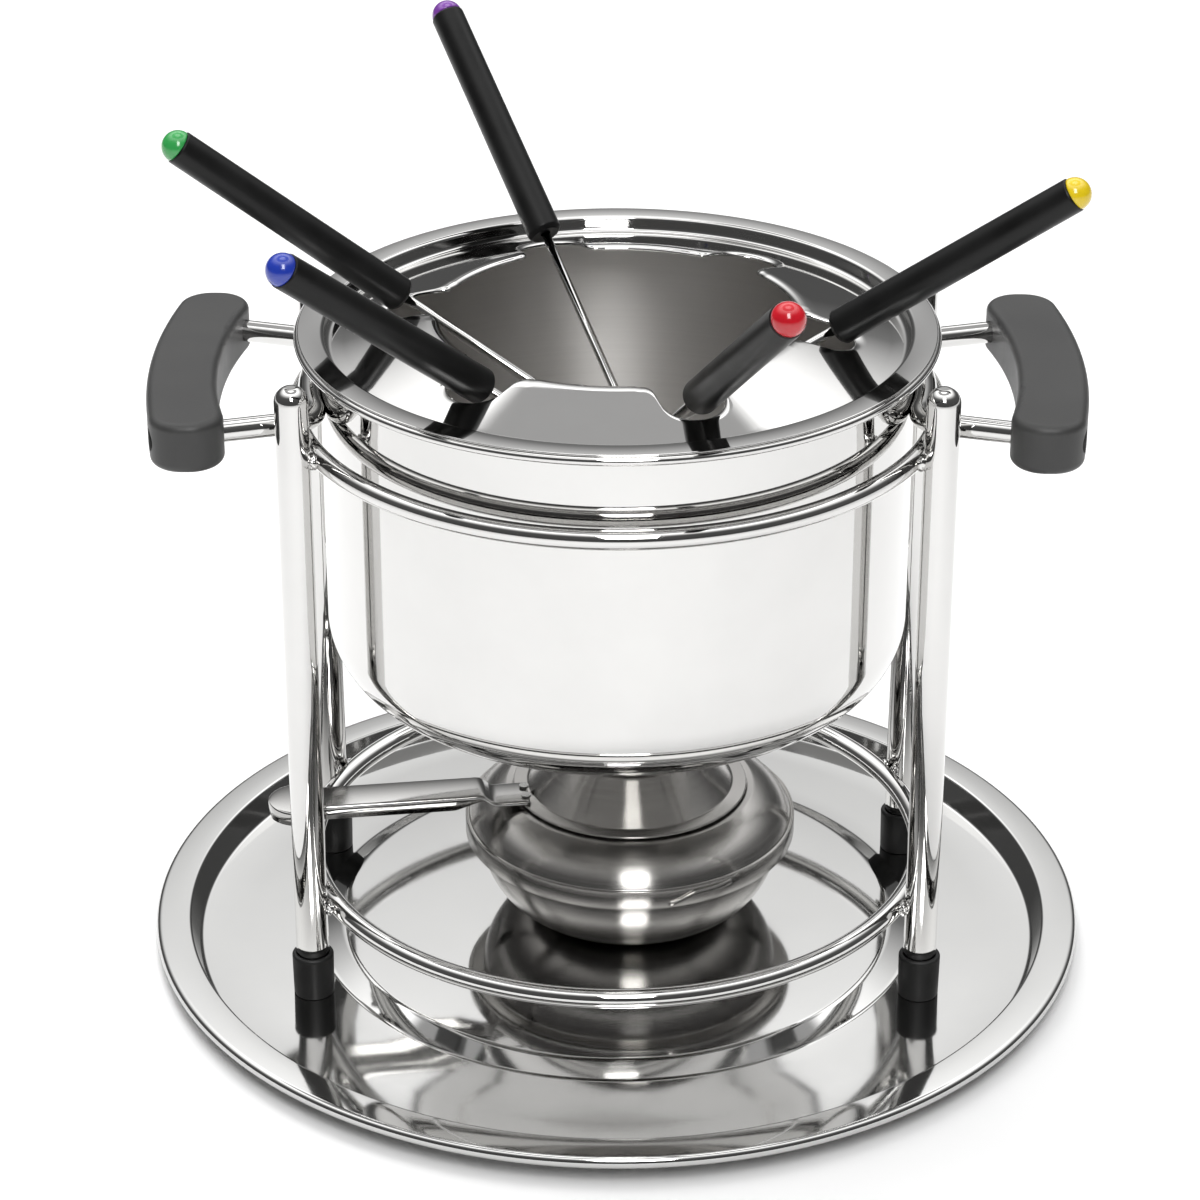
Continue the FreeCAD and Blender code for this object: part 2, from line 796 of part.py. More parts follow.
def build_snuffer():
    """A spun cap that starves the flame, and the long cranked arm riveted to its lip."""
    gauge, lip = d.burner_sheet, d.snuffer_lip_height
    bottom = lip + gauge + d.slip
    thick, half, flange = d.arm_thickness, d.arm_width * 0.5, d.arm_flange
    cap = turned("snuffer_cap_shell", [
        (d.snuffer_skirt_radius - gauge, lip),
        (d.snuffer_lip_radius, lip),
        (d.snuffer_lip_radius, lip + gauge),
        (d.snuffer_skirt_radius, lip + gauge),
        (d.snuffer_top_radius, d.snuffer_top_height),
        (ZERO, d.snuffer_top_height),
        (ZERO, d.snuffer_top_height - gauge),
        (d.snuffer_top_radius - gauge * 0.7, d.snuffer_top_height - gauge),
    ])
    round_edges(cap, d.snuffer_round, circle_at(d.snuffer_top_radius, d.snuffer_top_height))
    place(cap, d.burner_x, d.burner_y, ZERO)

    arm = new_body("snuffer_arm_channel")
    nose, crank, rise = d.arm_paddle_radius, d.arm_crank, d.arm_rise
    middle = d.arm_reach - nose
    tab = [(d.arm_start, -half), (crank, -half), (crank, half), (d.arm_start, half)]
    riser = [(crank, -half), (crank + thick, -half), (crank + thick, half), (crank, half)]
    padded(arm, sketch_on(arm, "XY_Plane", riser), rise + thick)
    padded(arm, sketch_on(arm, "XY_Plane", tab), thick)
    padded(arm, sketch_on(arm, "XY_Plane", paddle(crank, half, nose, middle), rise), thick)
    outer = paddle(d.arm_channel_start, half, nose, middle)
    inner = paddle(d.arm_channel_start, half - thick, nose - thick, middle)
    walls = outer + turned_back(inner)
    padded(arm, sketch_on(arm, "XY_Plane", walls, rise - flange), flange)
    place_snuffer(arm, bottom)

    bores, rivets = [], []
    for name, aside in (("near", d.rivet_spacing * -0.5), ("far", d.rivet_spacing * 0.5)):
        bore = cylinder(f"rivet_bore_{name}", d.rivet_radius + d.slip, thick * 8)
        place_snuffer(bore, bottom - thick * 4, d.rivet_out, aside)
        shank = cylinder(f"rivet_shank_{name}", d.rivet_radius, gauge + thick + d.slip * 2)
        place_snuffer(shank, lip, d.rivet_out, aside)
        head = cylinder(f"rivet_head_{name}", d.rivet_head_radius, d.rivet_head_height)
        place_snuffer(head, bottom + thick + d.slip, d.rivet_out, aside)
        rivet = doc.addObject("Part::Fuse", f"rivet_{name}")
        rivet.Base, rivet.Tool = shank, head
        bores.append(bore)
        rivets.append(rivet)
    for node, base in (("snuffer_cap", cap), ("snuffer_arm", arm)):
        keep(node, cut(node, base, group(node + "_bores", bores)))
    keep("snuffer_rivets", group("snuffer_rivets", rivets))


# ---------------------------------------------------------------- build, check and export

def check():
    for item in doc.Objects:
        if {"Invalid", "Error"} & set(item.State):
            raise RuntimeError(f"{item.Label} failed: {item.State}")
    for node, item in parts.items():
        shape = item.Shape
        if shape.isNull() or not shape.isValid() or shape.Volume <= 0:
            raise RuntimeError(f"{node} has no valid shape")


def export():
    os.makedirs("parts", exist_ok=True)
    for node, item in parts.items():
        item.Shape.exportStep(f"parts/{node}.step")


def main():
    build_tray()
    build_stand()
    build_pot()
    for label, side in (("left", -1), ("right", 1)):
        build_bracket(label, side)
        build_grip(label, side)
    build_guide()
    for colour in FORKS:
        build_fork(colour)
    build_bowl()
    build_cover()
    build_snuffer()
    doc.recompute()
    check()
    export()


main()
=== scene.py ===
import math

import bmesh
import bpy
from mathutils import Matrix, Vector, noise


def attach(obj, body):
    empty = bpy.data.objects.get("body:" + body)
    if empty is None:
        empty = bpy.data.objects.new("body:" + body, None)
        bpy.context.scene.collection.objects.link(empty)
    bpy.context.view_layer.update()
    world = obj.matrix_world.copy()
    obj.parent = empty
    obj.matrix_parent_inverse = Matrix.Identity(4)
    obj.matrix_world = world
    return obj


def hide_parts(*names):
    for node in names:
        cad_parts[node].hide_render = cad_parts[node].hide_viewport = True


# Looks of the fondue set: every piece is turned, swept or shaped at the size of its CAD node.
# Lengths are written in millimetres and turned into metres by MM. Only the lights and the camera
# are placed in metres.

MM = 0.001
GRAIN_DEPTH = 0.2 * MM
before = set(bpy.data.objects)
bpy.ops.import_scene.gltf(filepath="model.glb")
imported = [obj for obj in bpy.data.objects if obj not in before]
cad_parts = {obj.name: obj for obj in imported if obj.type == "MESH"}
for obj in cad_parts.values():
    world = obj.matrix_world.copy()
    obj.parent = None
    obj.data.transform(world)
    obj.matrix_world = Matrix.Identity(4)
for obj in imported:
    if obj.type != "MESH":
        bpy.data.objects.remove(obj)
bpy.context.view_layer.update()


# ---------------------------------------------------------------- materials

def new_material(name, **sockets):
    """A Principled material with these socket values, its nodes, its links and its shader."""
    mat = bpy.data.materials.new(name)
    mat.use_nodes = True
    nodes, links = mat.node_tree.nodes, mat.node_tree.links
    shader = nodes["Principled BSDF"]
    for key, value in sockets.items():
        shader.inputs[key.replace("_", " ")].default_value = value
    return mat, nodes, links, shader


def node(nodes, kind, **values):
    """A new shader node; each value sets the input of that name, or else the setting."""
    item = nodes.new(kind)
    for key, value in values.items():
        if key in item.inputs:
            item.inputs[key].default_value = value
        else:
            setattr(item, key, value)
    return item


def ramp(nodes, links, source, stops):
    """A colour ramp from a factor output; stops are (place, grey or colour)."""
    item = nodes.new("ShaderNodeValToRGB")
    elements = item.color_ramp.elements
    while len(elements) < len(stops):
        elements.new(0.5)
    for element, (place, colour) in zip(elements, stops):
        element.position = place
        rgb = colour if isinstance(colour, tuple) else (colour,) * 3
        element.color = (*rgb, 1.0)
    links.new(source, item.inputs["Fac"])
    return item.outputs["Color"]


def add_bump(nodes, links, shader, height, strength):
    bump = node(nodes, "ShaderNodeBump", Strength=strength, Distance=GRAIN_DEPTH)
    links.new(height, bump.inputs["Height"])
    links.new(bump.outputs["Normal"], shader.inputs["Normal"])


def polished(name, tint, low, high, scale=55.0):
    """Polished stainless steel: faint clouds of wiping haze in its roughness and tint."""
    mat, nodes, links, shader = new_material(name, Metallic=1.0, Roughness=low)
    place = nodes.new("ShaderNodeTexCoord")
    haze = node(nodes, "ShaderNodeTexNoise", Scale=scale, Detail=5.0, Roughness=0.6)
    links.new(place.outputs["Object"], haze.inputs["Vector"])
    links.new(ramp(nodes, links, haze.outputs["Fac"], [(0.35, low), (0.75, high)]),
              shader.inputs["Roughness"])
    darker = tuple(c * 0.96 for c in tint)
    links.new(ramp(nodes, links, haze.outputs["Fac"], [(0.3, tint), (0.8, darker)]),
              shader.inputs["Base Color"])
    return mat


def turned_steel(name, tint, centre, low, high, strength=0.05):
    """Satin steel with fine rings left by turning about a vertical axis at centre."""
    mat, nodes, links, shader = new_material(name, Metallic=1.0, Roughness=low, Anisotropic=0.85,
                                             Anisotropic_Rotation=0.25)
    around = node(nodes, "ShaderNodeTangent", direction_type="RADIAL", axis="Z")
    links.new(around.outputs[0], shader.inputs["Tangent"])
    place = nodes.new("ShaderNodeTexCoord")
    shift = node(nodes, "ShaderNodeVectorMath", operation="SUBTRACT")
    shift.inputs[1].default_value = (centre[0] * MM, centre[1] * MM, 0.0)
    links.new(place.outputs["Object"], shift.inputs[0])
    split = nodes.new("ShaderNodeSeparateXYZ")
    links.new(shift.outputs[0], split.inputs[0])
    flat = nodes.new("ShaderNodeCombineXYZ")
    links.new(split.outputs["X"], flat.inputs["X"])
    links.new(split.outputs["Y"], flat.inputs["Y"])
    radius = node(nodes, "ShaderNodeVectorMath", operation="LENGTH")
    links.new(flat.outputs[0], radius.inputs[0])
    coords = nodes.new("ShaderNodeCombineXYZ")
    links.new(radius.outputs["Value"], coords.inputs["X"])
    links.new(split.outputs["Z"], coords.inputs["Y"])
    fine = node(nodes, "ShaderNodeTexNoise", Scale=900.0, Detail=6.0, Roughness=0.7)
    links.new(coords.outputs[0], fine.inputs["Vector"])
    cloud = node(nodes, "ShaderNodeTexNoise", Scale=40.0, Detail=4.0)
    links.new(place.outputs["Object"], cloud.inputs["Vector"])
    mixed = node(nodes, "ShaderNodeMath", operation="MULTIPLY")
    links.new(fine.outputs["Fac"], mixed.inputs[0])
    links.new(cloud.outputs["Fac"], mixed.inputs[1])
    links.new(ramp(nodes, links, mixed.outputs[0], [(0.12, low), (0.4, high)]),
              shader.inputs["Roughness"])
    darker = tuple(c * 0.95 for c in tint)
    links.new(ramp(nodes, links, fine.outputs["Fac"], [(0.3, darker), (0.7, tint)]),
              shader.inputs["Base Color"])
    add_bump(nodes, links, shader, fine.outputs["Fac"], strength)
    return mat


def moulded(name, light, dark, low, high, grain, strength, coat=0.0, shine=0.5):
    """Moulded resin or rubber: fine grain, cloudy gloss and slightly paler worn patches."""
    mat, nodes, links, shader = new_material(name, Roughness=low, Coat_Weight=coat,
                                             Specular_IOR_Level=shine)
    place = nodes.new("ShaderNodeTexCoord")
    fine = node(nodes, "ShaderNodeTexNoise", Scale=grain, Detail=3.0, Roughness=0.6)
    cloud = node(nodes, "ShaderNodeTexNoise", Scale=60.0, Detail=4.0, Roughness=0.55)
    for texture in (fine, cloud):
        links.new(place.outputs["Object"], texture.inputs["Vector"])
    links.new(ramp(nodes, links, cloud.outputs["Fac"], [(0.3, dark), (0.75, light)]),
              shader.inputs["Base Color"])
    links.new(ramp(nodes, links, cloud.outputs["Fac"], [(0.3, low), (0.7, high)]),
              shader.inputs["Roughness"])
    add_bump(nodes, links, shader, fine.outputs["Fac"], strength)
    return mat


def glossy_cap(name, colour):
    """Glossy coloured plastic with a slight depth of tone."""
    deep = tuple(c * 0.72 for c in colour)
    return moulded(name, colour, deep, 0.16, 0.24, 700.0, 0.02, coat=0.6)


# The burner's axis stands a little off the centre of the tray.
BURNER = (4.2, 7.0)
CAPS = {
    "purple": (0.20, 0.045, 0.36),
    "green": (0.04, 0.40, 0.09),
    "blue": (0.015, 0.045, 0.42),
    "red": (0.62, 0.008, 0.02),
    "yellow": (0.90, 0.66, 0.01),
}
STEEL = polished("steel_polished", (0.66, 0.655, 0.645), 0.03, 0.07)
TRAY_STEEL = polished("steel_tray", (0.57, 0.568, 0.56), 0.045, 0.10, 30.0)
POT_INSIDE = turned_steel("steel_pot_inside", (0.78, 0.765, 0.745), (0, 0), 0.36, 0.44)
SATIN = turned_steel("steel_satin", (0.42, 0.41, 0.395), BURNER, 0.17, 0.25, strength=0.015)
ARM_STEEL = polished("steel_arm", (0.44, 0.435, 0.425), 0.10, 0.16)
SCREW = polished("steel_screw", (0.46, 0.46, 0.45), 0.2, 0.35, 300.0)
GRIP = moulded("grip_resin", (0.044, 0.044, 0.043), (0.030, 0.030, 0.030),
               0.40, 0.50, 1500.0, 0.12)
HANDLE = moulded("handle_resin", (0.010, 0.010, 0.010), (0.005, 0.005, 0.005),
                 0.30, 0.42, 1300.0, 0.10, shine=0.25)
RUBBER = moulded("foot_rubber", (0.010, 0.010, 0.010), (0.005, 0.005, 0.005),
                 0.42, 0.6, 900.0, 0.2)
FIBRE = moulded("pad_fibre", (0.74, 0.70, 0.62), (0.52, 0.48, 0.42), 0.9, 1.0, 420.0, 0.9)
CAP_MATERIALS = {c: glossy_cap(f"cap_{c}", rgb) for c, rgb in CAPS.items()}


# ---------------------------------------------------------------- mesh helpers

def piece(name, mesh, body, replaces=(), materials=(STEEL,)):
    """Link a mesh as a smooth-shaded piece that rides on a body and stands for CAD nodes."""
    obj = bpy.data.objects.new(name, mesh)
    bpy.context.scene.collection.objects.link(obj)
    for mat in materials:
        mesh.materials.append(mat)
    mesh.shade_smooth()
    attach(obj, body)
    if replaces:
        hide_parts(*replaces)
    return obj


def to_mesh(name, bm):
    """Turn a finished bmesh into a mesh and free it."""
    mesh = bpy.data.meshes.new(name)
    bm.to_mesh(mesh)
    bm.free()
    return mesh


def arc_points(centre, radius, start, end, count):
    """Points on an arc in the profile plane, angles in degrees from the radial direction."""
    out = []
    for i in range(count + 1):
        a = math.radians(start + (end - start) * i / count)
        out.append((centre[0] + radius * math.cos(a), centre[1] + radius * math.sin(a)))
    return out


def fillet(points, steps=8, closed=False):
    """Round the corners of a profile. A point is (r, z) or (r, z, corner radius)."""
    out = []
    last = len(points) - 1
    for i, point in enumerate(points):
        radius = point[2] if len(point) == 3 else 0.0
        here = Vector(point[:2])
        if radius <= 0 or (not closed and i in (0, last)):
            out.append(tuple(here))
            continue
        before = Vector(points[i - 1][:2]) - here
        after = Vector(points[(i + 1) % len(points)][:2]) - here
        half = before.angle(after) / 2
        reach = radius / math.tan(half)
        first, second = here + before.normalized() * reach, here + after.normalized() * reach
        bisector = (before.normalized() + after.normalized()).normalized()
        middle = here + bisector * radius / math.sin(half)
        a, b = (first - middle).normalized(), (second - middle).normalized()
        for step in range(steps + 1):
            out.append(tuple(middle + a.slerp(b, step / steps) * radius))
    return out


def lathe(name, profile, segments, centre=(0, 0), material=None, closed=False):
    """Turn a profile of (r, z) about a vertical axis. material(i) gives the slot of the faces
    between points i and i + 1."""
    bm = bmesh.new()
    rings = []
    for r, z in profile:
        if r < 1e-6:
            rings.append([bm.verts.new((centre[0] * MM, centre[1] * MM, z * MM))])
            continue
        ring = []
        for k in range(segments):
            a = 2 * math.pi * k / segments
            ring.append(bm.verts.new(((centre[0] + r * math.cos(a)) * MM,
                                      (centre[1] + r * math.sin(a)) * MM, z * MM)))
        rings.append(ring)
    pairs = list(zip(rings, rings[1:]))
    if closed:
        pairs.append((rings[-1], rings[0]))
    for i, (low, high) in enumerate(pairs):
        for a in range(segments):
            b = (a + 1) % segments
            corners = [low[a % len(low)], low[b % len(low)],
                       high[b % len(high)], high[a % len(high)]]
            unique = list(dict.fromkeys(corners))
            if len(unique) > 2:
                face = bm.faces.new(unique)
                if material:
                    face.material_index = material(i)
    bmesh.ops.recalc_face_normals(bm, faces=bm.faces)
    return to_mesh(name, bm)


def sweep(name, path, radius, sides=32):
    """A round bar with flat ends along a level path of points."""
    bm = bmesh.new()
    up = Vector((0, 0, 1))
    points = [Vector(p) for p in path]
    rings = []
    for i, point in enumerate(points):
        ahead = points[min(i + 1, len(points) - 1)]
        behind = points[max(i - 1, 0)]
        along = (ahead - behind).normalized()
        side = along.cross(up).normalized()
        lift = side.cross(along).normalized()
        ring = []
        for k in range(sides):
            a = 2 * math.pi * k / sides
            spot = point + side * (radius * math.cos(a)) + lift * (radius * math.sin(a))
            ring.append(bm.verts.new(spot * MM))
        rings.append(ring)
    for low, high in zip(rings, rings[1:]):
        for k in range(sides):
            bm.faces.new((low[k], low[(k + 1) % sides], high[(k + 1) % sides], high[k]))
    bm.faces.new(reversed(rings[0]))
    bm.faces.new(rings[-1])
    bmesh.ops.recalc_face_normals(bm, faces=bm.faces)
    return to_mesh(name, bm)


def soften(obj, width):
    """Round the sharp edges of a pressed piece."""
    bevel = obj.modifiers.new("edge", "BEVEL")
    bevel.width = width * MM
    bevel.segments = 3
    bevel.limit_method = "ANGLE"


# ---------------------------------------------------------------- tray

def make_tray():
    """Pressed sheet with a raised plateau, crisp press lines, flat brim and rolled edge."""
    sheet, plateau = 1.0, 4.0
    floor, level = sheet, plateau - sheet
    roll_centre, roll = (142.4, 7.0), 1.9
    top = [
        (0, plateau), (60, plateau), (86.0, plateau, 5.0), (93.0, floor, 4.0), (100, floor),
        (115, floor), (130.5, floor, 1.2), (133.5, 9.0, 1.0), (138, 8.95), (142.3, 8.9, 0.6),
    ]
    edge = arc_points(roll_centre, roll, 80, -100, 14)
    under = [
        (141.4, 5.2), (141.2, 6.9), (135, 7.95), (134.3, 7.9, 0.8),
        (131.4, 0.0, 0.6), (115, 0.0), (92.6, 0.0, 3.0), (85.6, level, 4.0), (60, level),
        (0, level),
    ]
    profile = fillet(top) + edge + fillet(under)
    mesh = lathe("tray_sheet", profile, 320)
    piece("tray_sheet", mesh, "tray", ["tray"], materials=[TRAY_STEEL])


# ---------------------------------------------------------------- stand

RING_R, ROD = 94.3, 3.0
LEG_R, LEG_CIRCLE, LEG_ANGLE = 5.0, 102.2, 25.5
LEG_TOP = 201.8
LOWER_Z, UPPER_Z = 30.5, 178.6
BEAD_SIZE, BEAD_SHIFT = (1.5, 1.7, 2.3), 2.6


def leg_spots():
    """The name and the place on the floor of each of the four legs."""
    for north, label_y in ((-1, "front"), (1, "rear")):
        for east, label_x in ((-1, "left"), (1, "right")):
            a = math.radians(LEG_ANGLE)
            yield (f"{label_y}_{label_x}", LEG_CIRCLE * math.cos(a) * east,
                   LEG_CIRCLE * math.sin(a) * north)


def weld_bead(name, spot, direction, size, seed):
    """A small lumpy weld bead, stretched along the joint."""
    bm = bmesh.new()
    bmesh.ops.create_icosphere(bm, subdivisions=4, radius=1.0)
    for v in bm.verts:
        lump = noise.noise(v.co * 1.7 + Vector((seed, 0, seed * 0.37)))
        v.co *= 1.0 + 0.22 * lump
        v.co = Vector((v.co.x * size[0], v.co.y * size[1], v.co.z * size[2])) * MM
    turn = Matrix.Rotation(math.atan2(direction[1], direction[0]), 4, "Z")
    bmesh.ops.transform(bm, matrix=Matrix.Translation(Vector(spot) * MM) @ turn, verts=bm.verts)
    return to_mesh(name, bm)


def make_stand():
    """Two rings welded to four round-topped legs, each leg in a rubber sleeve."""
    for name, height in (("upper_ring", UPPER_Z), ("lower_ring", LOWER_Z)):
        circle = arc_points((RING_R, height), ROD, 0, 360, 40)[:-1]
        mesh = lathe(name + "_rod", circle, 288, closed=True)
        piece(name + "_rod", mesh, "stand", [name])
    dome = arc_points((0, LEG_TOP - LEG_R + 0.4), LEG_R, 0, 84, 10)
    leg = [(0, 3.1), (4.9, 3.1), (LEG_R, 3.2), (LEG_R, 100)]
    leg += [(r, min(z, LEG_TOP)) for r, z in dome] + [(0, LEG_TOP)]
    bottom, outer, bore, sleeve_top = 1.1, 6.3, 5.06, 15.05
    sleeve = fillet([(0, bottom), (6.1, bottom, 0.3), (outer, 14.0), (outer, sleeve_top, 0.9),
                     (bore, sleeve_top, 0.1), (bore, 12.0)], 5)
    seed = 3
    for label, x, y in leg_spots():
        mesh = lathe(f"leg_{label}_bar", leg, 64, (x, y))
        piece(f"leg_{label}_bar", mesh, "stand", [f"leg_{label}"])
        foot = lathe(f"foot_{label}_sleeve", sleeve, 64, (x, y))
        piece(f"foot_{label}_sleeve", foot, "stand", [f"foot_{label}"], materials=[RUBBER])
        inward = Vector((-x, -y, 0)).normalized()
        for height in (LOWER_Z, UPPER_Z):
            for side in (-1, 1):
                seed += 1
                across = Vector((-inward.y, inward.x, 0)) * (BEAD_SHIFT * side)
                spot = Vector((x, y, height)) + inward * (LEG_R - 0.1) + across
                bead = weld_bead(f"weld_{seed}", spot, inward, BEAD_SIZE, seed)
                piece(f"weld_{label}_{seed}", bead, "stand")


# ---------------------------------------------------------------- pot

def make_pot():
    """Drawn pot: rolled rim, mirror outside, turned satin inside."""
    out_r, in_r, bottom, rim = 87.3, 86.4, 92.0, 202.9
    out_corner, in_corner = 21.0, 18.0
    flare, lip_r, wall_z = 2.6, 1.6, (130, 160)
    dent, base, inner = bottom + 0.6, out_r - out_corner, bottom + 3.0
    outside = fillet([(0, dent), (54, dent), (57.0, dent, 1.0), (58.5, bottom, 1.0),
                      (base, bottom)], 4)
    outside += arc_points((base, bottom + out_corner), out_corner, -88, 0, 36)
    outside += [(out_r, z) for z in wall_z] + [(out_r, 190)]
    outside += arc_points((out_r + flare, 198.0), flare, 180, 92, 10)
    outside += [(91.4, 200.7)]
    bead = arc_points((93.3, 201.6), 1.3, -110, 90, 18)
    top = [(91.0, rim), (88.4, rim)]
    lip = arc_points((88.0, rim - lip_r), lip_r, 90, 176, 8)
    inside = [(in_r, 195)] + [(in_r, z) for z in reversed(wall_z)]
    inside += arc_points((in_r - in_corner, inner + in_corner), in_corner, 0, -88, 30)
    inside += [(60, inner), (30, inner), (0, inner)]
    profile = outside + bead + top + lip + inside
    border = len(outside) + len(bead) + len(top) + len(lip) - 2
    mesh = lathe("pot_shell", profile, 320, material=lambda i: 1 if i >= border else 0)
    piece("pot_shell", mesh, "pot", ["pot_body"], materials=[STEEL, POT_INSIDE])


BRACKET_Z, BRACKET_ROD = 185.2, 3.3
SPLAY = math.radians(16.0)


def bracket_path():
    """Centre line of a bracket, right side, from the front arm's end to the rear arm's end."""
    base, bend, sweep_angle, arm = 90.45, 8.0, math.radians(14.0), 26.0
    hub = Vector((math.cos(sweep_angle), math.sin(sweep_angle))) * (base + bend)
    half = []
    for i in range(15):
        a = sweep_angle * i / 14
        half.append(Vector((base * math.cos(a), base * math.sin(a))))
    start, end = math.degrees(sweep_angle) + 180, 90 + math.degrees(SPLAY)
    for i in range(1, 15):
        a = math.radians(start + (end - start) * i / 14)
        half.append(hub + Vector((math.cos(a), math.sin(a))) * bend)
    last = half[-1]
    along = Vector((math.cos(SPLAY), math.sin(SPLAY)))
    for i in range(1, 9):
        half.append(last + along * (arm * i / 8))
    front = [Vector((p.x, -p.y)) for p in reversed(half[1:])]
    return [(p.x, p.y, BRACKET_Z) for p in front + half]


def make_brackets():
    for label, side in (("left", -1), ("right", 1)):
        path = [(x * side, y * side, z) for x, y, z in bracket_path()]
        mesh = sweep("bracket_rod", path, BRACKET_ROD)
        piece(f"bracket_{label}_rod", mesh, "pot", [f"bracket_{label}"])


# ---------------------------------------------------------------- fork guide

MOUTH_R, MOUTH_Z = 52.5, 207.15
CONE_R, CONE_Z = 85.4, 198.65
CONE_START, CURL = 80.0, 3.2


def guide_height(r):
    """Height of the cone's top surface at a radius."""
    return CONE_Z + (CONE_R - r) * (MOUTH_Z - CONE_Z) / (CONE_R - MOUTH_R)


def guide_edge():
    """The guide's inner edge as (angle, radius): six round-ended notches between broad petals."""
    notch_r, notch_centre, corner, start = 9.4, 60.0, 3.0, math.radians(50.0)
    half = []
    for i in range(17):
        a = math.radians(90 * i / 16)
        half.append((notch_centre + notch_r * math.cos(a), notch_r * math.sin(a)))
    turn_x = math.sqrt(MOUTH_R ** 2 - notch_r ** 2) + corner
    half.append((turn_x, notch_r))
    for i in range(1, 7):
        a = math.radians(90 * i / 6)
        half.append((turn_x - corner * math.sin(a), notch_r + corner * (1 - math.cos(a))))
    polar = [(math.atan2(y, x), math.hypot(x, y)) for x, y in half]
    polar = [(a, max(r, MOUTH_R)) for a, r in polar]
    last, step = polar[-1][0], math.radians(30)
    for i in range(1, 11):
        polar.append((last + (step - last) * i / 10, MOUTH_R))
    edge = []
    for k in range(6):
        centre = start + math.radians(60 * k)
        mirrored = [(centre - a, r) for a, r in reversed(polar[1:-1])]
        edge += mirrored + [(centre + a, r) for a, r in polar]
    return edge


def make_guide():
    """Spun guide: flange on the rim, short collar, cone rising to petals whose edges curl down."""
    bm = bmesh.new()
    top, sheet = 203.55, 0.6
    flange = fillet([(93.6, top - 0.1), (93.2, top, 0.2), (85.9, top, 1.3), (85.3, 198.6, 1.6),
                     (CONE_START, guide_height(CONE_START))], 6)
    spokes = []
    for angle, limit in guide_edge():
        rows = list(flange)
        for i in range(1, 15):
            r = CONE_START + (limit - CONE_START) * i / 14
            curl = max(0.0, 1.0 - (r - limit) / CURL)
            rows.append((r, guide_height(r) - 1.1 * curl ** 2))
        spokes.append([bm.verts.new((r * math.cos(angle) * MM, r * math.sin(angle) * MM, z * MM))
                       for r, z in rows])
    count = len(spokes)
    for k in range(count):
        a, b = spokes[k], spokes[(k + 1) % count]
        for i in range(len(a) - 1):
            bm.faces.new((a[i], b[i], b[i + 1], a[i + 1]))
    bmesh.ops.recalc_face_normals(bm, faces=bm.faces)
    obj = piece("fork_guide_sheet", to_mesh("fork_guide_sheet", bm), "guide", ["fork_guide"])
    if obj.data.polygons[0].normal.z < 0:
        obj.data.flip_normals()
    solid = obj.modifiers.new("sheet", "SOLIDIFY")
    solid.thickness = sheet * MM
    solid.offset = -1


# ---------------------------------------------------------------- forks

# Each fork's seat on the notch circle, heading, tilt, reach from the seat to the cap's top, and
# roll about its own shaft; angles in degrees.
FORKS = {
    "purple": (109.3, 119.7, 39.2, 90.7, 31.7),
    "green": (168.2, 192.6, 38.9, 90.2, 6.4),
    "blue": (231.5, 217.1, 38.2, 85.2, 130.5),
    "red": (291.1, 288.7, 36.8, 88.9, 13.7),
    "yellow": (350.1, 344.7, 35.9, 89.9, -12.0),
}
SEAT_R, SEAT_Z = 62.0, 204.5
FORK_LENGTH, HANDLE_LENGTH, CAP_R = 243.0, 82.0, 4.8
SHAFT_R, BLADE_HALF, BLADE_THICK, SLOT_HALF = 1.4, 4.2, 1.8, 1.7


def fork_matrix(colour):
    """Lays a fork in its notch. Its pieces are modelled along Z, the cap's top at zero and the
    prongs below."""
    seat, turn, tilt, reach, roll = FORKS[colour]
    seat, turn, tilt, roll = (math.radians(v) for v in (seat, turn, tilt, roll))
    out = Vector((math.cos(tilt) * math.cos(turn), math.cos(tilt) * math.sin(turn),
                  math.sin(tilt)))
    spot = Vector((SEAT_R * math.cos(seat), SEAT_R * math.sin(seat), SEAT_Z)) + out * reach
    return (Matrix.Translation(spot * MM) @ Matrix.Rotation(turn, 4, "Z")
            @ Matrix.Rotation(math.pi / 2 - tilt, 4, "Y") @ Matrix.Rotation(roll, 4, "Z"))


def blade_mesh():
    """The flat two-pronged blade, pressed from the shaft."""
    tip, wide, slot = -FORK_LENGTH, BLADE_HALF, SLOT_HALF
    half = [
        (slot, tip + 24.0, 1.6), (slot, tip + 5.5, 1.5), (3.3, tip, 0.3), (wide, tip + 4.0, 1.0),
        (wide, tip + 26.0, 4.5), (SHAFT_R, tip + 33.5, 3.0),
    ]
    mirrored = [(-y, z, corner) for y, z, corner in reversed(half)]
    outline = fillet(mirrored[2:] + half + mirrored[:2], 5, closed=True)
    bm = bmesh.new()
    front, back = ([bm.verts.new((x * MM, y * MM, z * MM)) for y, z in outline]
                   for x in (BLADE_THICK / 2, -BLADE_THICK / 2))
    count = len(outline)
    for k in range(count):
        bm.faces.new((front[k], back[k], back[(k + 1) % count], front[(k + 1) % count]))
    for ring in (front, back):
        edges = [bm.edges.get((ring[k], ring[(k + 1) % count])) for k in range(count)]
        bmesh.ops.triangle_fill(bm, use_beauty=True, edges=edges)
    bmesh.ops.recalc_face_normals(bm, faces=bm.faces)
    return to_mesh("fork_blade", bm)


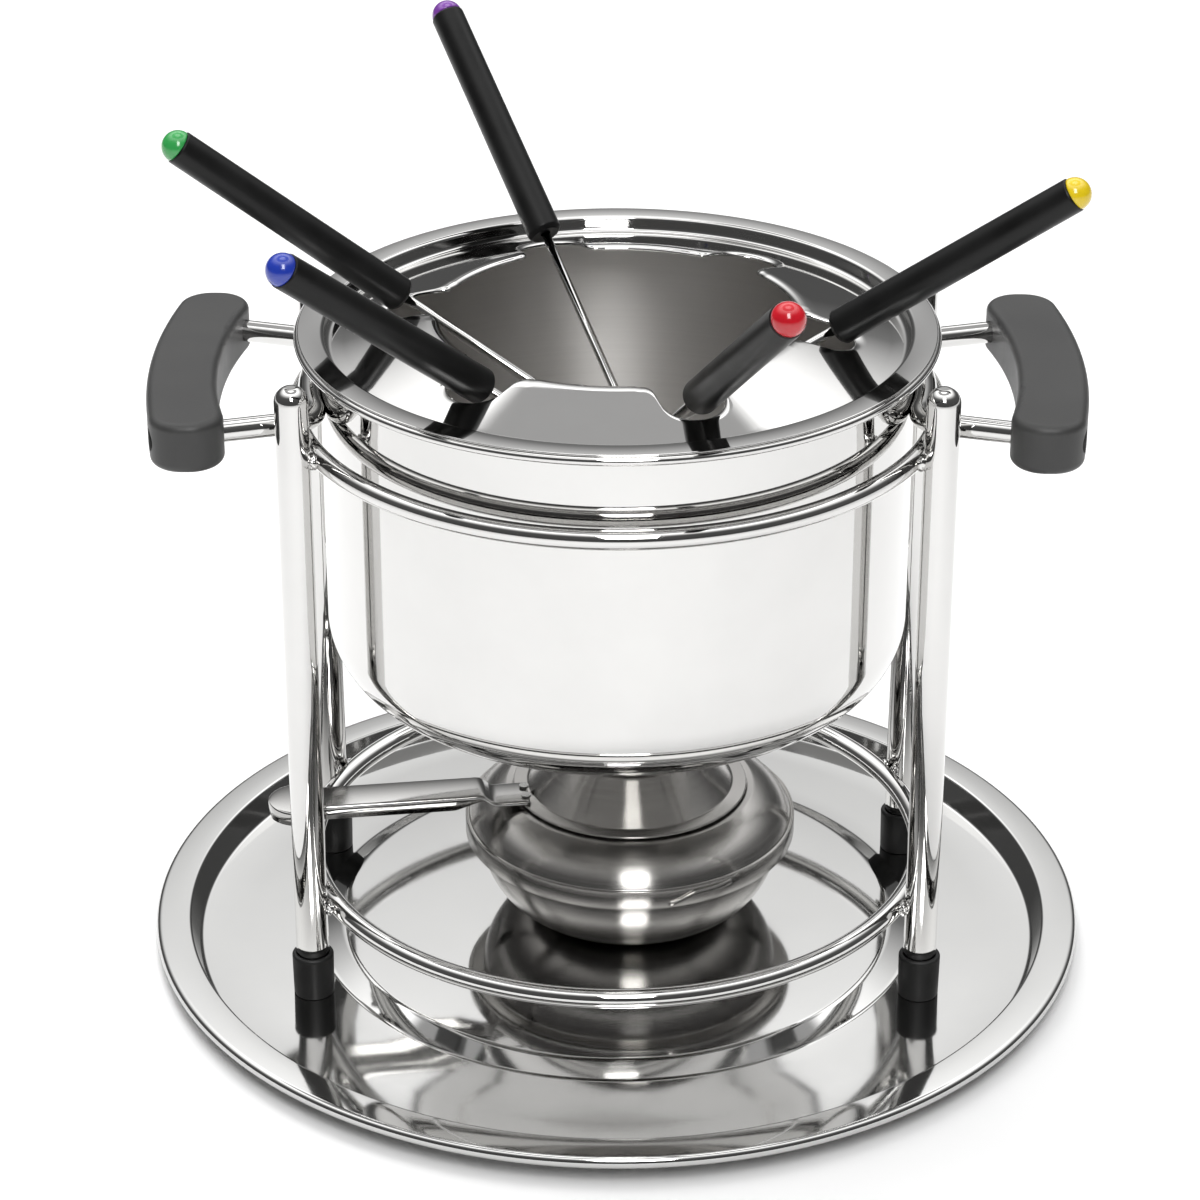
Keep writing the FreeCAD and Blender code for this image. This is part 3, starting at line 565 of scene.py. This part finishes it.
def make_forks():
    """Five forks, each with its shaft, blade, moulded handle and coloured cap."""
    head = -CAP_R
    foot = head - HANDLE_LENGTH
    shaft_end, blade_end = foot + 6.0, -FORK_LENGTH + 30.0
    shaft_profile = fillet([(0, blade_end), (1.0, blade_end), (SHAFT_R, blade_end + 6.0, 1.5),
                            (SHAFT_R, shaft_end), (0, shaft_end)], 4)
    handle_profile = fillet([
        (1.46, foot + 2.0), (1.5, foot + 0.3, 0.2), (4.2, foot + 0.02, 0.3), (5.3, foot + 1.2, 1.0),
        (5.22, foot + 30), (5.15, head - 30), (5.1, head - 0.4, 0.3), (4.85, head, 0.1),
        (2.0, head)], 6)
    cap_profile = [(0, head - 2.0), (2.0, head - 2.0), (2.0, head + 0.05)]
    cap_profile += arc_points((0, head), CAP_R, 2, 88, 16) + [(0, head + CAP_R)]
    for colour in FORKS:
        body = f"fork_{colour}_body"
        shaft = piece(f"fork_{colour}_shaft", lathe("fork_shaft", shaft_profile, 24), body,
                      [f"fork_{colour}"])
        blade = piece(f"fork_{colour}_blade", blade_mesh(), body)
        soften(blade, 0.3)
        handle = piece(f"handle_{colour}_moulding", lathe("fork_handle", handle_profile, 64), body,
                       [f"handle_{colour}"], materials=[HANDLE])
        cap = piece(f"cap_{colour}_bead", lathe("fork_cap", cap_profile, 64), body,
                    [f"cap_{colour}"], materials=[CAP_MATERIALS[colour]])
        for obj in (shaft, blade, handle, cap):
            obj.data.transform(fork_matrix(colour))


# ---------------------------------------------------------------- burner

BAND_R, BAND_TOP = 51.5, 35.9


def make_burner():
    """Spun burner: bowl, and domed cover with its band and catch."""
    base, corner, base_r, bowl_sheet = 4.05, 24.0, 22.6, 0.8
    side, flange_z, flange_r = base_r + corner, 29.2, 50.4
    bowl = fillet([(0, base + 0.5), (19, base + 0.5), (21.2, base + 0.1, 1.0), (base_r, base)], 3)
    bowl += arc_points((base_r, base + corner), corner, -88, 0, 30)
    bowl += fillet([(side, 28.2), (side, flange_z, 0.4), (49.8, flange_z), (flange_r, 29.4, 0.2),
                    (flange_r, 29.9, 0.2), (50.1, 30.0), (46.4, 30.0, 0.3), (45.8, 28.6)], 4)
    bowl += arc_points((base_r, base + corner), corner - bowl_sheet, 0, -88, 24)
    bowl += [(0, base + bowl_sheet)]
    piece("burner_bowl_shell", lathe("burner_bowl_shell", bowl, 224, BURNER), "burner",
          ["burner_bowl"], materials=[SATIN])

    dome_foot, crown_r, dome_r, sheet = 35.7, 38.5, 19.0, 0.8
    cover = fillet([(43.5, 30.05), (51.3, 30.05, 0.3), (BAND_R, 30.3), (BAND_R, BAND_TOP)], 4)
    cover += [(51.42, 36.2), (51.2, 36.35), (50.95, 36.2)]
    cover += cover_arc(50.7, dome_foot, crown_r, 45.6, dome_r)
    cover += fillet([(crown_r, 45.6), (37.0, 45.55, 1.0), (20.0, 42.8, 1.5), (17.3, 42.75, 0.3),
                     (17.0, 42.4), (17.3, 42.0, 0.2), (20.0, 42.0)], 4)
    cover += [(38.3, 44.7)]
    cover += reversed(cover_arc(50.7 - sheet, dome_foot, crown_r, 45.6 - sheet, dome_r - sheet))
    cover += [(49.9, 31.0), (43.5, 30.85)]
    piece("burner_cover_dome", lathe("burner_cover_dome", cover, 224, BURNER, closed=True), "cover",
          ["burner_cover"], materials=[SATIN])
    make_catch()


def cover_arc(r1, z1, r2, z2, radius):
    """The dome's arc from (r1, z1) at the band up and in to (r2, z2)."""
    a, b = Vector((r1, z1)), Vector((r2, z2))
    chord = b - a
    left = Vector((-chord.y, chord.x)).normalized()
    centre = (a + b) / 2 + left * math.sqrt(radius ** 2 - (chord.length / 2) ** 2)
    u, v = (a - centre).normalized(), (b - centre).normalized()
    return [tuple(centre + u.slerp(v, i / 20) * radius) for i in range(21)]


def make_catch():
    """The small bayonet catch pressed out of the cover's band at the front right."""
    start, span, fall, root = -77, 24, 2.8, 50.6
    bm = bmesh.new()
    rows = []
    for i in range(25):
        t = i / 24
        a = math.radians(start + span * t)
        drop = fall * (0.5 - 0.5 * math.cos(min(1.0, t * 2.2) * math.pi))
        face = BAND_R + 0.2 + 0.95 * math.sin(math.pi * t) ** 0.6
        row = []
        for r, z in ((root, 30.6), (face, 30.8), (face, 32.4), (root, 32.8)):
            row.append(bm.verts.new(((BURNER[0] + r * math.cos(a)) * MM,
                                     (BURNER[1] + r * math.sin(a)) * MM, (z + drop) * MM)))
        rows.append(row)
    for low, high in zip(rows, rows[1:]):
        for k in range(4):
            bm.faces.new((low[k], high[k], high[(k + 1) % 4], low[(k + 1) % 4]))
    bm.faces.new(rows[0])
    bm.faces.new(reversed(rows[-1]))
    bmesh.ops.recalc_face_normals(bm, faces=bm.faces)
    obj = piece("cover_catch", to_mesh("cover_catch", bm), "cover",
                materials=[SATIN])
    soften(obj, 0.35)


SNUFFER_LIP, SNUFFER_TOP, CAP_SHEET = 45.9, 59.0, 0.8
ARM_HALF, ARM_SHEET, ARM_START, ARM_NECK = 6.5, 1.2, 32.8, 96.4
PADDLE_R, PADDLE_X = 9.5, 103.5
CRANK_START, CRANK_LENGTH, CRANK_RISE = 43.0, 5.0, 3.0
FLANGE_START, FLANGE_END, FLANGE = 46.0, 56.0, 3.2
ARM_TURN, ARM_OFFSET = math.radians(188.0), 6.0


def make_snuffer():
    """The snuffer: spun cap with a rolled lip, and its long channel arm."""
    lip, top, outer = SNUFFER_LIP, SNUFFER_TOP, SNUFFER_LIP + CAP_SHEET
    under = top - CAP_SHEET
    cap = fillet([(31.3, lip), (36.2, lip, 0.3), (36.6, lip + 0.4, 0.3), (36.2, outer, 0.3),
                  (32.0, outer, 1.0), (20.5, top, 4.0), (14, top)], 10)
    cap += [(0, top), (0, under)]
    cap += fillet([(14, under), (20.0, under, 3.4), (31.3, lip, 0.0)], 8)
    piece("snuffer_cap_shell", lathe("snuffer_cap_shell", cap, 224, BURNER), "snuffer",
          ["snuffer_cap"], materials=[SATIN])
    obj = piece("snuffer_arm_channel", arm_mesh(), "snuffer", ["snuffer_arm"],
                materials=[ARM_STEEL])
    shift = Vector((BURNER[0] - ARM_OFFSET * math.sin(ARM_TURN),
                    BURNER[1] + ARM_OFFSET * math.cos(ARM_TURN), 0)) * MM
    obj.data.transform(Matrix.Translation(shift) @ Matrix.Rotation(ARM_TURN, 4, "Z"))


def arm_mesh():
    """The arm along X: flat at the lip, cranked up, then a channel that ends in a round paddle."""
    stations = [(ARM_START + (ARM_NECK - ARM_START) * i / 53, ARM_HALF) for i in range(54)]
    for i in range(41):
        angle = math.radians(-43.0 + 132.5 * i / 40)
        stations.append((PADDLE_X + PADDLE_R * math.sin(angle), PADDLE_R * math.cos(angle)))
    bm = bmesh.new()
    rings = []
    for x, half in stations:
        flange = FLANGE * min(1.0, max(0.0, (x - FLANGE_START) / (FLANGE_END - FLANGE_START)))
        depth = min(flange, flange * half / 4.0)
        step = min(1.0, max(0.0, (x - CRANK_START) / CRANK_LENGTH))
        level = SNUFFER_LIP + 0.85 + CRANK_RISE * step * step * (3.0 - 2.0 * step)
        corner, wall = min(0.9, half * 0.4), half - min(1.1, half * 0.5)
        outline = fillet([
            (-half, level - depth), (-half, level + ARM_SHEET, corner),
            (half, level + ARM_SHEET, corner), (half, level - depth),
            (wall, level - depth), (wall, level), (-wall, level), (-wall, level - depth),
        ], 4)
        rings.append([bm.verts.new(Vector((x, y, z)) * MM) for y, z in outline])
    for a, b in zip(rings, rings[1:]):
        n = len(a)
        for k in range(n):
            bm.faces.new((a[k], b[k], b[(k + 1) % n], a[(k + 1) % n]))
    bm.faces.new(rings[0])
    bm.faces.new(rings[-1])
    bmesh.ops.remove_doubles(bm, verts=bm.verts, dist=1e-6)
    bmesh.ops.recalc_face_normals(bm, faces=bm.faces)
    return to_mesh("snuffer_arm_channel", bm)


# ---------------------------------------------------------------- carried-over CAD nodes

def finish_cad_nodes():
    """Materials for the CAD nodes that stay in sight as they are."""
    kept = {
        "fuel_pad": FIBRE,
        "burner_gauze": SCREW,
        "grip_left": GRIP,
        "grip_right": GRIP,
        "grip_screws_left": SCREW,
        "grip_screws_right": SCREW,
        "snuffer_rivets": SCREW,
    }
    for name, mat in kept.items():
        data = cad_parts[name].data
        data.materials.clear()
        data.materials.append(mat)


# ---------------------------------------------------------------- floor, light and camera

FLOOR_R, FLOOR_Z = 6000, -0.3


def make_stage():
    """A wide pale floor just under the tray."""
    mesh = lathe("floor", [(0, FLOOR_Z), (FLOOR_R, FLOOR_Z)], 96)
    floor = bpy.data.objects.new("floor", mesh)
    bpy.context.scene.collection.objects.link(floor)
    mat, nodes, links, shader = new_material("floor_white", Roughness=0.7)
    place = nodes.new("ShaderNodeTexCoord")
    cloud = node(nodes, "ShaderNodeTexNoise", Scale=3.0, Detail=2.0)
    links.new(place.outputs["Object"], cloud.inputs["Vector"])
    links.new(ramp(nodes, links, cloud.outputs["Fac"], [(0.2, 0.94), (0.8, 0.96)]),
              shader.inputs["Base Color"])
    mesh.materials.append(mat)


def make_world():
    """A studio for the steel to mirror: a bright ceiling that leans to the back, with a darker ring
    in it, and dark walls. The camera itself sees a plain white backdrop."""
    world = bpy.data.worlds.new("studio")
    bpy.context.scene.world = world
    world.use_nodes = True
    nodes, links = world.node_tree.nodes, world.node_tree.links
    nodes.clear()
    place = nodes.new("ShaderNodeTexCoord")
    ceiling = node(nodes, "ShaderNodeVectorMath", operation="DOT_PRODUCT")
    lean = math.radians(15)
    ceiling.inputs[1].default_value = (0.0, math.sin(lean), math.cos(lean))
    links.new(place.outputs["Generated"], ceiling.inputs[0])
    sky = ramp(nodes, links, ceiling.outputs["Value"], [
        (0.0, 0.03), (0.45, 0.04), (0.56, 0.09), (0.68, 0.34), (0.80, 0.66), (0.865, 0.90),
        (0.885, 0.19), (0.965, 0.20), (0.98, 1.0), (1.0, 1.0)])
    studio = node(nodes, "ShaderNodeBackground", Strength=2.65)
    links.new(sky, studio.inputs["Color"])
    plain = node(nodes, "ShaderNodeBackground", Strength=1.0)
    plain.inputs["Color"].default_value = (1.0, 1.0, 1.0, 1.0)
    path = nodes.new("ShaderNodeLightPath")
    mix = nodes.new("ShaderNodeMixShader")
    links.new(path.outputs["Is Camera Ray"], mix.inputs["Fac"])
    links.new(studio.outputs[0], mix.inputs[1])
    links.new(plain.outputs[0], mix.inputs[2])
    out = nodes.new("ShaderNodeOutputWorld")
    links.new(mix.outputs[0], out.inputs["Surface"])


def softbox(name, spot, target, size, power, mirrored=True):
    """A soft rectangular light in metres; one that isn't mirrored leaves no shape in the steel."""
    data = bpy.data.lights.new(name, "AREA")
    data.shape = "RECTANGLE"
    data.size, data.size_y = size
    data.energy = power
    obj = bpy.data.objects.new(name, data)
    obj.location = spot
    obj.rotation_euler = (Vector(target) - Vector(spot)).to_track_quat("-Z", "Y").to_euler()
    obj.visible_glossy = mirrored
    bpy.context.scene.collection.objects.link(obj)


def make_camera():
    """A long lens in front, looking down at the set."""
    distance, height = 1.0227, 0.6283
    look_down, roll = 0.467, 0.005
    data = bpy.data.cameras.new("camera")
    data.sensor_width = 36.0
    data.lens = 113.4
    data.clip_start = 0.05
    obj = bpy.data.objects.new("camera", data)
    obj.location = (0.0, -distance, height)
    obj.rotation_euler = (math.pi / 2 - look_down, 0.0, roll)
    bpy.context.scene.collection.objects.link(obj)
    bpy.context.scene.camera = obj


make_tray()
make_stand()
make_pot()
make_brackets()
make_guide()
make_forks()
make_burner()
make_snuffer()
finish_cad_nodes()
make_stage()
make_world()
softbox("key", (-0.35, 0.6, 1.3), (0, 0, 0.05), (0.8, 0.8), 10.0, mirrored=False)
softbox("fill", (0.08, -1.0, 1.15), (0, 0, 0.15), (0.38, 0.7), 9.0)
make_camera()
bpy.context.scene.view_settings.view_transform = "Standard"
